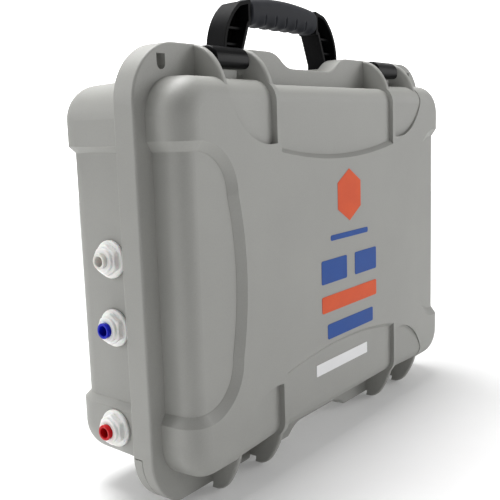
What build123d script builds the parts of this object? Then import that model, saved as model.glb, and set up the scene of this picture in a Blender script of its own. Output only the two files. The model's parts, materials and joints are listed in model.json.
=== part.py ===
from build123d import *
import os
from math import cos, pi, radians, sin, sqrt

# Portable reverse osmosis unit in a moulded protective case that stands on its hinge side.
# Drawn about the middle of the case: X along its width, Y from the lid (-Y) to the base (+Y),
# Z up, the lid and the base meeting at Y = 0. export() moves every node so that the origin is
# at the centre of the footprint, on the floor. Millimetres throughout.

# Case body
HALF_W = 172.9          # side walls at the rim
HALF_H = 121.0          # top and bottom walls at the rim
LID_DEPTH = 35.0
BASE_DEPTH = 72.0
DRAFT = 2.3             # degrees, every wall leans in away from the rim
CORNER_R = 24.0
LID_EDGE_R = 15.0
BASE_EDGE_R = 18.0
WALL = 3.2
RIM_GAP = 0.2           # each rim stands this far off the parting plane
SIDE_STEP = 4.1         # depth of the side panels
SIDE_PANEL_Z = 77.4
SIDE_BEVEL = {-1: (6.0, 3.9), 1: (4.0, 4.0)}   # across and into the step, lid and base
END_STEP = 3.2          # depth of the panels between the inner fins
END_BEVEL = 3.0
LATCH_STEP = 0.6        # least depth of the panels under the latches and over the hinges
LATCH_TILT = 4.2        # degrees, they deepen towards the inner fins

# Rim flange
FLANGE_HALF_W = 181.5
FLANGE_TOP = 140.0
FLANGE_DIP = 129.5      # the flange is lower behind the handle
FLANGE_CORNER_R = 35.5
LID_FLANGE_T = 8.5
BASE_FLANGE_T = 7.7
SKIRT_T = 3.0           # the lid's flange wraps over the edge of the base's
SKIRT_GAP = 0.6
SKIRT_END_Z = -104.5
EDGE_R = 1.4            # moulded edge rounding
FLOOR_Z = -141.0

# Fins each side of the latches and hinges
INNER_FIN_X = 77.5
OUTER_FIN_X = 124.0
FIN_T = 4.5
NOTCH_Z = 123.5         # the flange is cut down to this height between the fins

# Hinges
HINGE_Z = -136.5
KNUCKLE_R = 4.5
HINGE_PIN_R = 2.0
HINGE_SWEEP_R = 9.3     # the lid is cut away inside this radius, below the hinge axis

# Latches
LATCH_X0 = 86.5
LATCH_X1 = 119.5
LATCH_PIVOT_Y = 11.0
LATCH_PIVOT_Z = 130.5
LATCH_TOP = 139.8
LATCH_NOSE = (-18.4, -9.6, 126.2)   # front, inner face and bottom of the nose
LATCH_PIN_R = 2.0
LATCH_BARREL_R = 6.3
KEEPER_TOP = 125.4

# Handle
HANDLE_Y0 = 13.0
HANDLE_Y1 = 29.0
HANDLE_LEG_OUT = 73.2
HANDLE_LEG_IN = 54.0
HANDLE_CROWN = 181.5
HANDLE_UNDER = 160.0
HANDLE_CORE_Z = (164.5, 173.5)
HANDLE_PIVOT_Y = 21.0
HANDLE_PIVOT_Z = 128.0
HANDLE_PIN_R = 3.0
GRIP_HALF = 42.0
FIT = 0.05              # radial clearance of everything that turns or slides

# Push-fit ports for 6.35 mm tube, in the left wall of the base
TUBE_R = 3.175
TUBE_BORE_R = 2.15
PORT_Y = 31.0
PORT_Z = {"waste": 13.0, "product": -30.0, "feed": -93.7}
PORT_SEAT_X = {"waste": -167.6, "product": -167.6, "feed": -171.7}
PORT_DISC_R = 11.8
PORT_DISC_T = 2.6
PORT_HEX = 17.7
PORT_HEX_END = 6.3
PORT_COLLAR_R = 7.6
PORT_COLLAR_END = 8.3
PORT_SHANK_R = 7.9
PORT_INNER_END = -24.0
PORT_SEAT_T = 4.2
COLLET_R = 4.27
COLLET_TRAVEL = 1.5
COLLET_RING_R = 4.9
COLLET_END = 11.2
COLLET_LENGTH = 10.6
SEAL_DEPTH = (9.5, 11.9)    # the O-ring's groove, inwards from the collar's end
STOP_DEPTH = 16.5           # where the water tube stops, inwards from the collar's end
NUT_HEX = 23.0
NUT_T = 6.0

# Water treatment inside the base
LANE_Y = PORT_Y
MEMBRANE_Z = 80.0
CARBON_Z = 20.0
SEDIMENT_Z = -38.0
LINE_X_LEFT = -120.0    # vertical tube runs
LINE_X_RIGHT = 156.0
CARTRIDGE_R = 25.0
CARTRIDGE_X = (-90.0, 140.0)
HOUSING_R = 27.0
HOUSING_BORE_R = 24.2
HOUSING_X = (-105.0, 130.0)
CAP_R = 30.0
CAP_X = (118.0, 148.0)
PLATE_Y = (61.4, 64.4)
PLATE_SCREW_X = 108.0
PLATE_SCREW_Z = 93.0
PLATE_SCREW_END = 67.3
SCREW_R = 2.0
SCREW_HEAD_R = 4.2

os.makedirs("parts", exist_ok=True)
X_MIN = PORT_SEAT_X["feed"] - COLLET_END
GRAPHIC_T = 0.25
ORIGIN = ((X_MIN + FLANGE_HALF_W) / 2, (BASE_DEPTH - LID_DEPTH - GRAPHIC_T) / 2, FLOOR_Z)
BOTH = (-1, 1)


def export(name, shape):
    """Moves a finished piece, or a list of separate solids, to the object's frame and writes it."""
    solids = shape if isinstance(shape, list) else [shape]
    move = Location((-ORIGIN[0], -ORIGIN[1], -ORIGIN[2]))
    moved = [move * s for solid in solids for s in solid.solids()]
    whole = moved[0] if len(moved) == 1 else Compound(children=moved)
    export_step(whole, f"parts/{name}.step")


def slab(outline, y0, y1):
    """A sketch drawn in X and Z, made a plate from y0 to y1."""
    return extrude(Plane(origin=(0, y1, 0), x_dir=(1, 0, 0), z_dir=(0, -1, 0)) * outline, y1 - y0)


def rib(outline, x0, x1):
    """A sketch drawn in Y and Z, made a plate from x0 to x1."""
    return extrude(Plane(origin=(x0, 0, 0), x_dir=(0, 1, 0), z_dir=(1, 0, 0)) * outline, x1 - x0)


def block(x0, x1, y0, y1, z0, z1):
    """A plain box between two corners."""
    middle = ((x0 + x1) / 2, (y0 + y1) / 2, (z0 + z1) / 2)
    return Location(middle) * Box(x1 - x0, y1 - y0, z1 - z0)


def rod(x0, x1, y, z, r):
    """A round bar along X."""
    return extrude(Plane(origin=(x0, y, z), z_dir=(1, 0, 0)) * Circle(r), x1 - x0)


def post(x, y, z0, z1, r):
    """A round bar along Z."""
    return extrude(Plane(origin=(x, y, z0), z_dir=(0, 0, 1)) * Circle(r), z1 - z0)


def stud(x, y0, y1, z, r):
    """A round bar along Y."""
    return extrude(Plane(origin=(x, y0, z), z_dir=(0, 1, 0)) * Circle(r), y1 - y0)


def outline(*edges):
    """The face inside a closed loop of edges."""
    return make_face(Wire([piece for edge in edges for piece in edge.edges()]))


def mirrored(shape):
    """The shape's twin on the other side of the YZ plane."""
    return mirror(shape, about=Plane.YZ)


def flipped(shape):
    """The shape's twin below the XY plane."""
    return mirror(shape, about=Plane.XY)


# Case shells

def tray(facing, inset):
    """The drafted, rounded body of one half, every face moved in by inset."""
    depth = (LID_DEPTH if facing < 0 else BASE_DEPTH) - inset
    edge_r = (LID_EDGE_R if facing < 0 else BASE_EDGE_R) - inset
    rim = RectangleRounded(2 * (HALF_W - inset), 2 * (HALF_H - inset), CORNER_R - inset)
    body = extrude(Plane(origin=(0, 0, 0), x_dir=(1, 0, 0), z_dir=(0, facing, 0)) * rim, depth, taper=DRAFT)
    face = body.faces().sort_by(Axis.Y)[0 if facing < 0 else -1]
    return fillet(face.edges(), edge_r)


def side_zone():
    """Outline of the right side panel: a step on the side wall that wraps to a D on the face."""
    top = SIDE_PANEL_Z
    half = [Line((194, top), (155, top)), RadiusArc((155, top), (130, 50), -27)]
    lower = [mirror(edge, about=Plane.XZ) for edge in half]
    bow = ThreePointArc((130, 50), (124, 0), (130, -50))
    return outline(*half, bow, *lower, Line((194, -top), (194, top)))


def centre_zone():
    """Outline of the panel between the two inner fins, at the top."""
    x = INNER_FIN_X
    return outline(
        ThreePointArc((-x, 76.5), (0, 69), (x, 76.5)),
        Line((x, 76.5), (x, 150)),
        Line((x, 150), (-x, 150)),
        Line((-x, 150), (-x, 76.5)),
    )


def latch_zone():
    """Outline of the panel between the right inner fin and the right outer fin, at the top."""
    x0, x1 = INNER_FIN_X + FIN_T, OUTER_FIN_X + FIN_T
    return outline(
        ThreePointArc((x0, 79.3), (x1 - 12, 89.5), (x1, 107)),
        Line((x1, 107), (x1, 150)),
        Line((x1, 150), (x0, 150)),
        Line((x0, 150), (x0, 79.3)),
    )


def sink(body, facing, inset, zone, step, spread):
    """Lowers the part of the body inside the zone by step; a cavity's zone is wider by spread."""
    grown = offset(zone, inset + spread) if inset else zone
    return body - (slab(grown, -60, 100) - tray(facing, inset + step))


def sink_tilted(body, facing, inset, zone):
    """As sink, to a floor turned about the zone's outer edge so that it deepens towards the middle."""
    face = -LID_DEPTH if facing < 0 else BASE_DEPTH
    edge = Axis((OUTER_FIN_X + FIN_T, face, 0), (0, 0, 1))
    grown = offset(zone, inset + 1) if inset else zone
    pocket = slab(grown, -60, 100) - tray(facing, inset + LATCH_STEP).rotate(edge, facing * LATCH_TILT)
    return body - (pocket + mirrored(pocket))


def face_edges(body, facing, low, high):
    """Arcs on the flat face whose middle lies between two corners given in X and Z."""
    y = -LID_DEPTH if facing < 0 else BASE_DEPTH

    def inside(edge):
        p = edge.position_at(0.5)
        flat = all(abs(edge.position_at(u).Y - y) < 0.01 for u in (0, 0.5, 1))
        return flat and low[0] < p.X < high[0] and low[1] < p.Z < high[1]

    return body.edges().filter_by(inside)


def hull(facing, inset):
    """One half with its sunk panels; the cavity is the same shape, moved in by the wall."""
    body = sink(tray(facing, inset), facing, inset, side_zone(), SIDE_STEP, 4)
    if not inset:
        body = chamfer(face_edges(body, facing, (120, -80), (157, 80)), *SIDE_BEVEL[facing])
    body &= block(0, 220, -60, 100, -200, 200)
    body += mirrored(body)
    for end in BOTH:
        zone = centre_zone() if end > 0 else mirror(centre_zone(), about=Plane.XZ)
        body = sink(body, facing, inset, zone, END_STEP, 2)
        if not inset:
            low, high = ((-5, 64), (5, 74)) if end > 0 else ((-5, -74), (5, -64))
            body = chamfer(face_edges(body, facing, low, high), END_BEVEL, END_BEVEL)
        zone = latch_zone() if end > 0 else mirror(latch_zone(), about=Plane.XZ)
        body = sink_tilted(body, facing, inset, zone)
    return body


def flange_outline():
    """The rim seen from the front: square with round corners, dipped at the handle."""
    c = FLANGE_HALF_W - FLANGE_CORNER_R
    low = FLANGE_TOP - FLANGE_CORNER_R
    diag = FLANGE_CORNER_R * sin(pi / 4)
    mid_x, mid_z = 37.0, (FLANGE_DIP + FLANGE_TOP) / 2
    right = [
        Line((0, FLANGE_DIP), (22, FLANGE_DIP)),
        TangentArc((22, FLANGE_DIP), (mid_x, mid_z), tangent=(1, 0)),
        TangentArc((52, FLANGE_TOP), (mid_x, mid_z), tangent=(-1, 0)),
        Line((52, FLANGE_TOP), (c, FLANGE_TOP)),
        ThreePointArc((c, FLANGE_TOP), (c + diag, low + diag), (FLANGE_HALF_W, low)),
        Line((FLANGE_HALF_W, low), (FLANGE_HALF_W, 0)),
    ]
    left = [mirror(e, about=Plane.YZ) for e in right]
    upper = right + left
    lower = [mirror(e, about=Plane.XZ) for e in upper]
    return outline(*upper, *lower)


def rim_plate(inset, y0, y1, rounded):
    """A plate in the flange's outline, moved in by inset, with one of its faces' edges rounded."""
    shape = offset(flange_outline(), -inset) if inset else flange_outline()
    plate = slab(shape, y0, y1)
    face = plate.faces().sort_by(Axis.Y)[rounded]
    return fillet(face.edges(), EDGE_R)


def rim_gaps(plate):
    """Cuts the flange down between the fins and slots it for a padlock at each top corner."""
    gap0, gap1 = INNER_FIN_X + FIN_T, OUTER_FIN_X
    for side in BOTH:
        for end in BOTH:
            plate -= block(*sorted((side * gap0, side * gap1)), -20, 20, *sorted((end * NOTCH_Z, end * 160)))
        slot = block(*sorted((side * 154, side * 161)), -20, 20, 127.5, 133) + stud(side * 157.5, -20, 20, 127.5, 3.5)
        plate -= slot
    return plate


def lid_flange():
    """The lid's rim plate with the skirt that wraps over the base's edge, down to the hinge side."""
    front = rim_plate(0, -LID_FLANGE_T, -RIM_GAP, 0)
    skirt = rim_plate(0, -LID_FLANGE_T / 2, BASE_FLANGE_T, -1)
    skirt -= slab(offset(flange_outline(), -SKIRT_T), -20, 20)
    skirt -= block(-220, 220, -20, 20, -200, SKIRT_END_Z)
    return rim_gaps(front + skirt)


def base_flange():
    """The base's rim plate: inside the lid's skirt, and full size below the skirt's end."""
    inner = rim_plate(SKIRT_T + SKIRT_GAP, RIM_GAP, BASE_FLANGE_T, -1)
    outer = rim_plate(0, RIM_GAP, BASE_FLANGE_T, -1)
    outer -= block(-220, 220, -20, 20, SKIRT_END_Z - SKIRT_GAP, 200)
    return rim_gaps(inner + outer)


def skirt_room():
    """The space the lid's skirt needs round the base, with its gap."""
    room = slab(offset(flange_outline(), 5), -20, BASE_FLANGE_T + SKIRT_GAP)
    room -= slab(offset(flange_outline(), -SKIRT_T - SKIRT_GAP), -30, 30)
    return room - block(-220, 220, -30, 30, -200, SKIRT_END_Z - SKIRT_GAP)


def fin(profile, x, ridge_low):
    """A plate fin from x outwards, its ridge rounded wherever it stands above ridge_low."""
    plate = rib(profile, x, x + FIN_T)
    ridge = plate.edges().filter_by(lambda e: e.position_at(0.5).Z > ridge_low and e.bounding_box().size.X < 1)
    ridge = ridge.filter_by(lambda e: abs(e.position_at(0.5).Y) > 0.01)
    return fillet(ridge, EDGE_R)


def fin_set(profile, sign):
    """Inner and outer fin on both sides, at the top (sign 1) or as feet at the bottom (-1)."""
    fins = fin(profile, INNER_FIN_X, 101) + fin(profile, OUTER_FIN_X, 113)
    fins = fins + mirrored(fins)
    return fins if sign > 0 else flipped(fins)


def lid_fins(sign):
    """The lid's fins: each ridge leaves the face with the face's slope and rolls over to the rim."""
    if sign > 0:
        ridge = [(-33.4, 101), (-30.6, 114), (-26.4, 125), (-20.6, 133), (-13.5, 138), (-5, FLANGE_TOP)]
    else:
        ridge = [(-33.6, 102), (-28.8, 122), (-24, 131.5), (-18.5, 138.4), (-12, -FLOOR_Z)]
    start, (rim, top) = (-LID_DEPTH + 0.3, 80), ridge[-1]
    profile = outline(
        Spline(start, *ridge),
        Line((rim, top), (0, top)),
        Line((0, top), (0, 100)),
        Line((0, 100), start),
    )
    return fin_set(profile, sign)


def base_fins(sign):
    """The base's fins: short at the top, long flat feet at the bottom."""
    top = FLANGE_TOP if sign > 0 else -FLOOR_Z
    flat, heel = (24, 50) if sign > 0 else (44, 60)
    profile = outline(
        Line((0, top), (flat, top)),
        ThreePointArc((flat, top), ((flat + heel) / 2 + 2, top - 6), (heel, 112)),
        Line((heel, 112), (0, 112)),
        Line((0, 112), (0, top)),
    )
    return fin_set(profile, sign)


def knuckle(x0, x1, facing):
    """A hinge eye with the web that joins it to its shell."""
    eye = rod(x0, x1, 0, HINGE_Z, KNUCKLE_R)
    web = block(x0, x1, *sorted((facing * RIM_GAP, facing * 7)), HINGE_Z, -HALF_H + 6)
    return eye + web


def lid_shell():
    shell = hull(-1, 0) + lid_fins(1) + lid_fins(-1)
    shell -= block(-220, 220, -RIM_GAP, 40, -200, 200)
    shell += lid_flange()
    sweep_cut = rod(-190, 190, 0, HINGE_Z, HINGE_SWEEP_R) & block(-190, 190, -20, 20, -160, HINGE_Z)
    shell -= sweep_cut
    for side in BOTH:
        eye = knuckle(94.4, 111.6, -1)
        shell += eye if side > 0 else mirrored(eye)
        shell += block(*sorted((side * 95, side * 111)), -14, -LID_FLANGE_T + 1, 112, KEEPER_TOP)
    shell -= hull(-1, WALL)
    shell -= gasket()
    for side in BOTH:
        shell -= rod(*sorted((side * 80, side * 126)), 0, HINGE_Z, HINGE_PIN_R + FIT)
    return shell


def gasket():
    """The seal ring, seated in a groove in the lid's rim."""
    ring = RectangleRounded(2 * (HALF_W + 2.3), 2 * (HALF_H + 2.3), CORNER_R + 2.3)
    ring -= RectangleRounded(2 * (HALF_W + 0.3), 2 * (HALF_H + 0.3), CORNER_R + 0.3)
    return slab(ring, -2.7, -RIM_GAP)


def base_shell():
    shell = hull(1, 0) + base_flange() + base_fins(1) - skirt_room() + base_fins(-1)
    shell -= block(-220, 220, -40, RIM_GAP, -200, 200)
    for side in BOTH:
        for x0, x1 in ((82.5, 94.0), (112.0, 123.5)):
            eye = knuckle(x0, x1, 1)
            shell += eye if side > 0 else mirrored(eye)
        outer = block(HANDLE_LEG_OUT + 0.6, INNER_FIN_X + 1, HANDLE_Y0, HANDLE_Y1, 112, 134)
        inner = block(HANDLE_LEG_IN - 4.6, HANDLE_LEG_IN - 0.6, HANDLE_Y0 + 1, HANDLE_Y1 - 1, 112, 134)
        lugs = outer + inner
        shell += lugs if side > 0 else mirrored(lugs)
    shell -= hull(1, WALL)
    for side in BOTH:
        shell -= rod(*sorted((side * 80, side * 126)), 0, HINGE_Z, HINGE_PIN_R)
        shell -= rod(*sorted((side * 79, side * 127)), LATCH_PIVOT_Y, LATCH_PIVOT_Z, LATCH_PIN_R)
        shell -= rod(*sorted((side * 49, side * 79)), HANDLE_PIVOT_Y, HANDLE_PIVOT_Z, HANDLE_PIN_R)
    for x, z in plate_screw_places():
        shell += stud(x, PLATE_Y[1], BASE_DEPTH - WALL + 0.3, z, 6)
        shell -= stud(x, PLATE_Y[1] - 1, PLATE_SCREW_END, z, SCREW_R)
    for name, z in PORT_Z.items():
        seat = PORT_SEAT_X[name]
        shell += rod(seat, seat + PORT_SEAT_T, PORT_Y, z, PORT_DISC_R + 0.8)
        shell -= rod(seat - 6, seat, PORT_Y, z, PORT_DISC_R + 0.8)
        shell -= rod(seat - 1, seat + PORT_SEAT_T + 1, PORT_Y, z, PORT_SHANK_R)
        shell -= rod(seat + PORT_SEAT_T, seat + PORT_SEAT_T + NUT_T + 1, PORT_Y, z, NUT_HEX / sqrt(3) + 0.3)
    return shell


def lid_foam():
    """The convoluted pad glued in the lid, as its plain outer block."""
    return slab(RectangleRounded(300, 196, 14), -27.5, -9)


def hinge_pins():
    return [rod(*sorted((s * 80, s * 126)), 0, HINGE_Z, HINGE_PIN_R) for s in BOTH]


def latch_pins():
    return [rod(*sorted((s * 79, s * 127)), LATCH_PIVOT_Y, LATCH_PIVOT_Z, LATCH_PIN_R) for s in BOTH]


def handle_pins():
    return [rod(*sorted((s * 49, s * 79)), HANDLE_PIVOT_Y, HANDLE_PIVOT_Z, HANDLE_PIN_R) for s in BOTH]


# Latches

def latch():
    """The right-hand latch: a broad lever over the rim with a rounded nose in front of it."""
    top = LATCH_TOP
    front, back, low = LATCH_NOSE
    arm = outline(
        Line((LATCH_PIVOT_Y, top), (-9, top)),
        ThreePointArc((-9, top), (front + 2.6, top - 2.6), (front, top - 9)),
        ThreePointArc((front, top - 9), (front + 1.1, low + 1.1), (front + 4, low)),
        Line((front + 4, low), (back, low)),
        Line((back, low), (back, top - 6.4)),
        Line((back, top - 6.4), (LATCH_PIVOT_Y, top - 6.4)),
        Line((LATCH_PIVOT_Y, top - 6.4), (LATCH_PIVOT_Y, top)),
    )
    body = rib(arm, LATCH_X0, LATCH_X1)
    body += rod(LATCH_X0, LATCH_X1, LATCH_PIVOT_Y, LATCH_PIVOT_Z, LATCH_BARREL_R)
    cheek = outline(
        Line((LATCH_PIVOT_Y - LATCH_BARREL_R, LATCH_PIVOT_Z), (LATCH_PIVOT_Y + LATCH_BARREL_R, LATCH_PIVOT_Z)),
        Line((LATCH_PIVOT_Y + LATCH_BARREL_R, LATCH_PIVOT_Z), (15, top - 1)),
        Line((15, top - 1), (LATCH_PIVOT_Y, top)),
        Line((LATCH_PIVOT_Y, top), (LATCH_PIVOT_Y - LATCH_BARREL_R, LATCH_PIVOT_Z)),
    )
    body += rib(cheek, LATCH_X0, LATCH_X1)
    body -= rod(LATCH_X0 - 1, LATCH_X1 + 1, LATCH_PIVOT_Y, LATCH_PIVOT_Z, LATCH_PIN_R + FIT)
    for edge, into in ((LATCH_X0, 1), (LATCH_X1, -1)):
        foot, side, point = (edge - into, low - 1), (edge - into, low + 8.6), (edge + into * 4.8, low - 1)
        body -= slab(outline(Line(foot, side), Line(side, point), Line(point, foot)), front - 5, back + 1)
    return body


# Handle

def handle_arch():
    """The handle seen from the front, legs down."""
    out, inn, low = HANDLE_LEG_OUT, HANDLE_LEG_IN, HANDLE_PIVOT_Z - 7.8
    right = [
        Line((inn, low), (out, low)),
        Line((out, low), (out - 0.4, 144)),
        ThreePointArc((out - 0.4, 144), (67.2, 161.5), (54, 174.6)),
    ]
    under = [
        Line((inn, low), (inn - 0.4, 138)),
        Line((inn - 0.4, 138), (44.5, HANDLE_UNDER)),
    ]
    crown = ThreePointArc((54, 174.6), (0, HANDLE_CROWN), (-54, 174.6))
    below = Line((44.5, HANDLE_UNDER), (-44.5, HANDLE_UNDER))
    left = [mirror(e, about=Plane.YZ) for e in right + under]
    return outline(*right, crown, *left, *under, below)


def handle_frame():
    """Black frame: channel legs, open to the front and ribbed, and a core under the grip."""
    arch = handle_arch()
    frame = slab(arch, HANDLE_Y0, HANDLE_Y1)
    pocket = slab(offset(arch, -2.6), HANDLE_Y0 - 1, HANDLE_Y1 - 4)
    for side in BOTH:
        reach = block(*sorted((side * (GRIP_HALF + 3), side * 90)), 0, 40, HANDLE_PIVOT_Z + 8, 200)
        frame -= pocket & reach
        for z in (146.5, 157.5):
            bar = block(*sorted((side * 45, side * 71)), HANDLE_Y0 + 4, HANDLE_Y1 - 3, z - 0.9, z + 0.9)
            frame += bar & slab(arch, HANDLE_Y0, HANDLE_Y1)
    frame -= block(-GRIP_HALF, GRIP_HALF, 0, 60, HANDLE_UNDER - 2, HANDLE_CROWN + 2)
    frame += block(-GRIP_HALF, GRIP_HALF, HANDLE_PIVOT_Y - 4, HANDLE_PIVOT_Y + 4, *HANDLE_CORE_Z)
    swing = rod(-90, 90, HANDLE_PIVOT_Y, HANDLE_PIVOT_Z, 8)
    frame -= block(-90, 90, 0, 60, 100, HANDLE_PIVOT_Z) - swing
    frame -= rod(-90, 90, HANDLE_PIVOT_Y, HANDLE_PIVOT_Z, HANDLE_PIN_R + FIT)
    return frame


def handle_grip():
    """Soft grip over the core, crowned above and shaped for the fingers below."""
    shoulder = HANDLE_CROWN - 3.4
    side = outline(
        ThreePointArc((-GRIP_HALF, shoulder), (0, HANDLE_CROWN), (GRIP_HALF, shoulder)),
        Line((GRIP_HALF, shoulder), (GRIP_HALF, HANDLE_UNDER)),
        Line((GRIP_HALF, HANDLE_UNDER), (-GRIP_HALF, HANDLE_UNDER)),
        Line((-GRIP_HALF, HANDLE_UNDER), (-GRIP_HALF, shoulder)),
    )
    grip = slab(side, HANDLE_Y0 - 1.5, HANDLE_Y1 + 1.5)
    long_edges = grip.edges().filter_by(lambda e: e.bounding_box().size.X > 80)
    grip = fillet(long_edges, 6)
    core = block(-GRIP_HALF - 1, GRIP_HALF + 1, HANDLE_PIVOT_Y - 4, HANDLE_PIVOT_Y + 4, *HANDLE_CORE_Z)
    for i in range(5):
        grip -= stud((i - 2) * 14.5, 0, 60, HANDLE_UNDER - 9.2, 10)
    return grip - core


# Ports

def port_body(name):
    """Bulkhead union: disc and hex outside, threaded shank through the wall."""
    seat, z = PORT_SEAT_X[name], PORT_Z[name]

    def bar(u0, u1, r):
        return rod(seat - u1, seat - u0, PORT_Y, z, r)

    hexagon = Plane(origin=(seat - PORT_HEX_END, PORT_Y, z), z_dir=(1, 0, 0)) * RegularPolygon(
        PORT_HEX / 2, 6, major_radius=False
    )
    body = bar(0, PORT_DISC_T, PORT_DISC_R) + extrude(hexagon, PORT_HEX_END - PORT_DISC_T)
    body += bar(PORT_HEX_END, PORT_COLLAR_END, PORT_COLLAR_R)
    body += bar(PORT_INNER_END, 0, PORT_SHANK_R)
    groove0, groove1 = PORT_COLLAR_END - SEAL_DEPTH[1], PORT_COLLAR_END - SEAL_DEPTH[0]
    body -= bar(groove1, PORT_COLLAR_END + 1, COLLET_R + 0.08)
    body -= bar(groove0, groove1, 4.9)
    body -= bar(PORT_COLLAR_END - STOP_DEPTH, groove0, TUBE_R + 0.07)
    body -= bar(PORT_INNER_END - 1, 0, TUBE_BORE_R)
    body -= bar(PORT_INNER_END - 1, PORT_INNER_END + 12, TUBE_R)
    return body


def port_nut(name):
    seat, z = PORT_SEAT_X[name] + PORT_SEAT_T, PORT_Z[name]
    shape = RegularPolygon(NUT_HEX / 2, 6, major_radius=False) - Circle(PORT_SHANK_R)
    return extrude(Plane(origin=(seat, PORT_Y, z), z_dir=(1, 0, 0)) * shape, NUT_T)


def port_oring(name):
    seat, z = PORT_SEAT_X[name], PORT_Z[name]
    middle = PORT_COLLAR_END - (SEAL_DEPTH[0] + SEAL_DEPTH[1]) / 2
    return Plane(origin=(seat - middle, PORT_Y, z), z_dir=(1, 0, 0)) * Torus(4.07, 0.8)


def collet(name):
    """Sliding collet: ring outside, sleeve in the body's bore."""
    seat, z = PORT_SEAT_X[name], PORT_Z[name]
    ring_back = PORT_COLLAR_END + COLLET_TRAVEL + 0.2
    ring = rod(seat - COLLET_END, seat - ring_back, PORT_Y, z, COLLET_RING_R)
    sleeve = rod(seat - ring_back, seat - COLLET_END + COLLET_LENGTH, PORT_Y, z, COLLET_R)
    return ring + sleeve - rod(seat - COLLET_END - 1, seat + 1, PORT_Y, z, TUBE_R + 0.07)


# Water treatment

def backing_plate():
    plate = slab(RectangleRounded(300, 200, 10), *PLATE_Y)
    for x, z in plate_screw_places() + clip_screw_places():
        plate -= stud(x, 60, 66, z, SCREW_R)
    return plate


def plate_screw_places():
    return [(sx * PLATE_SCREW_X, sz * PLATE_SCREW_Z) for sx in BOTH for sz in BOTH]


def plate_screws():
    screws = []
    for x, z in plate_screw_places():
        head = stud(x, PLATE_Y[0] - 2.6, PLATE_Y[0], z, SCREW_HEAD_R)
        screws.append(head + stud(x, PLATE_Y[0], PLATE_SCREW_END, z, SCREW_R))
    return screws


CLIPS = (
    (MEMBRANE_Z, HOUSING_R, -70.0),
    (MEMBRANE_Z, HOUSING_R, 90.0),
    (CARBON_Z, CARTRIDGE_R, -60.0),
    (CARBON_Z, CARTRIDGE_R, 105.0),
    (SEDIMENT_Z, CARTRIDGE_R, -60.0),
    (SEDIMENT_Z, CARTRIDGE_R, 105.0),
)
CLIP_T = 2.4
CLIP_W = 14.0


def clip(z, r, x):
    """A snap clip: an open ring on a foot that is screwed to the plate."""
    ring = rod(x - CLIP_W / 2, x + CLIP_W / 2, LANE_Y, z, r + CLIP_T)
    foot = block(x - CLIP_W / 2, x + CLIP_W / 2, LANE_Y, PLATE_Y[0], z - 13, z + 13)
    body = ring + foot
    body -= rod(x - CLIP_W, x + CLIP_W, LANE_Y, z, r)
    body -= block(x - CLIP_W, x + CLIP_W, 0, LANE_Y - 0.55 * r, z - 40, z + 40)
    return body - stud(x, 50, PLATE_Y[0] + 1, z, SCREW_HEAD_R) + clip_floor(z, r, x)


def clip_floor(z, r, x):
    """The clip's floor under its screw head."""
    floor = stud(x, PLATE_Y[0] - 1.4, PLATE_Y[0], z, SCREW_HEAD_R)
    return floor - stud(x, 40, 66, z, SCREW_R)


def clip_screw_places():
    return [(x, z) for z, _, x in CLIPS]


def clip_screws():
    screws = []
    for z, r, x in CLIPS:
        head = stud(x, PLATE_Y[0] - 3.4, PLATE_Y[0] - 1.4, z, SCREW_HEAD_R - 0.3)
        screws.append(head + stud(x, PLATE_Y[0] - 1.4, PLATE_Y[1] + 0.5, z, SCREW_R))
    return screws


def membrane_housing():
    x0, x1 = HOUSING_X
    body = rod(x0, x1, LANE_Y, MEMBRANE_Z, HOUSING_R)
    body = fillet(body.edges().sort_by(Axis.X)[0], 5)
    body -= rod(x0 + 4, x1 + 1, LANE_Y, MEMBRANE_Z, HOUSING_BORE_R)
    for y in (18.0, 44.0):
        body -= rod(x0 - 1, x0 + 5, y, MEMBRANE_Z, TUBE_BORE_R)
    return body


def membrane_element():
    """Rolled membrane with a centre tube."""
    x0, x1 = HOUSING_X[0] + 6, HOUSING_X[1] - 4
    return rod(x0, x1, LANE_Y, MEMBRANE_Z, 22.6) - rod(x0 - 1, x1 + 1, LANE_Y, MEMBRANE_Z, 6)


def membrane_tube():
    x0, x1 = HOUSING_X[0] + 5, HOUSING_X[1] - 2
    return rod(x0, x1, LANE_Y, MEMBRANE_Z, 6) - rod(x0 - 1, x1 + 1, LANE_Y, MEMBRANE_Z, 4)


def membrane_cap():
    x0, x1 = CAP_X
    cap = rod(x0, x1, LANE_Y, MEMBRANE_Z, CAP_R)
    cap = fillet(cap.edges().sort_by(Axis.X)[-1], 4)
    for i in range(12):
        angle = radians(30 * i + 15)
        y, z = LANE_Y + (CAP_R + 1.4) * cos(angle), MEMBRANE_Z + (CAP_R + 1.4) * sin(angle)
        cap -= rod(x0 - 1, x1 - 8, y, z, 3)
    cap -= rod(x0 - 1, HOUSING_X[1] + 2.4, LANE_Y, MEMBRANE_Z, HOUSING_R)
    return cap - rod(x0, x1 + 1, LANE_Y, MEMBRANE_Z, TUBE_BORE_R)


def cap_oring():
    plane = Plane(origin=(HOUSING_X[1] + 1.2, LANE_Y, MEMBRANE_Z), z_dir=(1, 0, 0))
    return plane * Torus(25.6, 1.2)


def cartridge(z):
    """A sealed inline filter: a tube with rounded ends and a stem at each end."""
    x0, x1 = CARTRIDGE_X
    body = rod(x0, x1, LANE_Y, z, CARTRIDGE_R)
    body = fillet(body.edges(), 6)
    body -= rod(x0 + 4, x1 - 4, LANE_Y, z, CARTRIDGE_R - 2.5)
    return body - rod(x0 - 1, x1 + 1, LANE_Y, z, TUBE_BORE_R)


def cartridge_core(z):
    """The block of media inside a cartridge."""
    x0, x1 = CARTRIDGE_X[0] + 10, CARTRIDGE_X[1] - 10
    return rod(x0, x1, LANE_Y, z, CARTRIDGE_R - 4) - rod(x0 - 1, x1 + 1, LANE_Y, z, 7)


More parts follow.
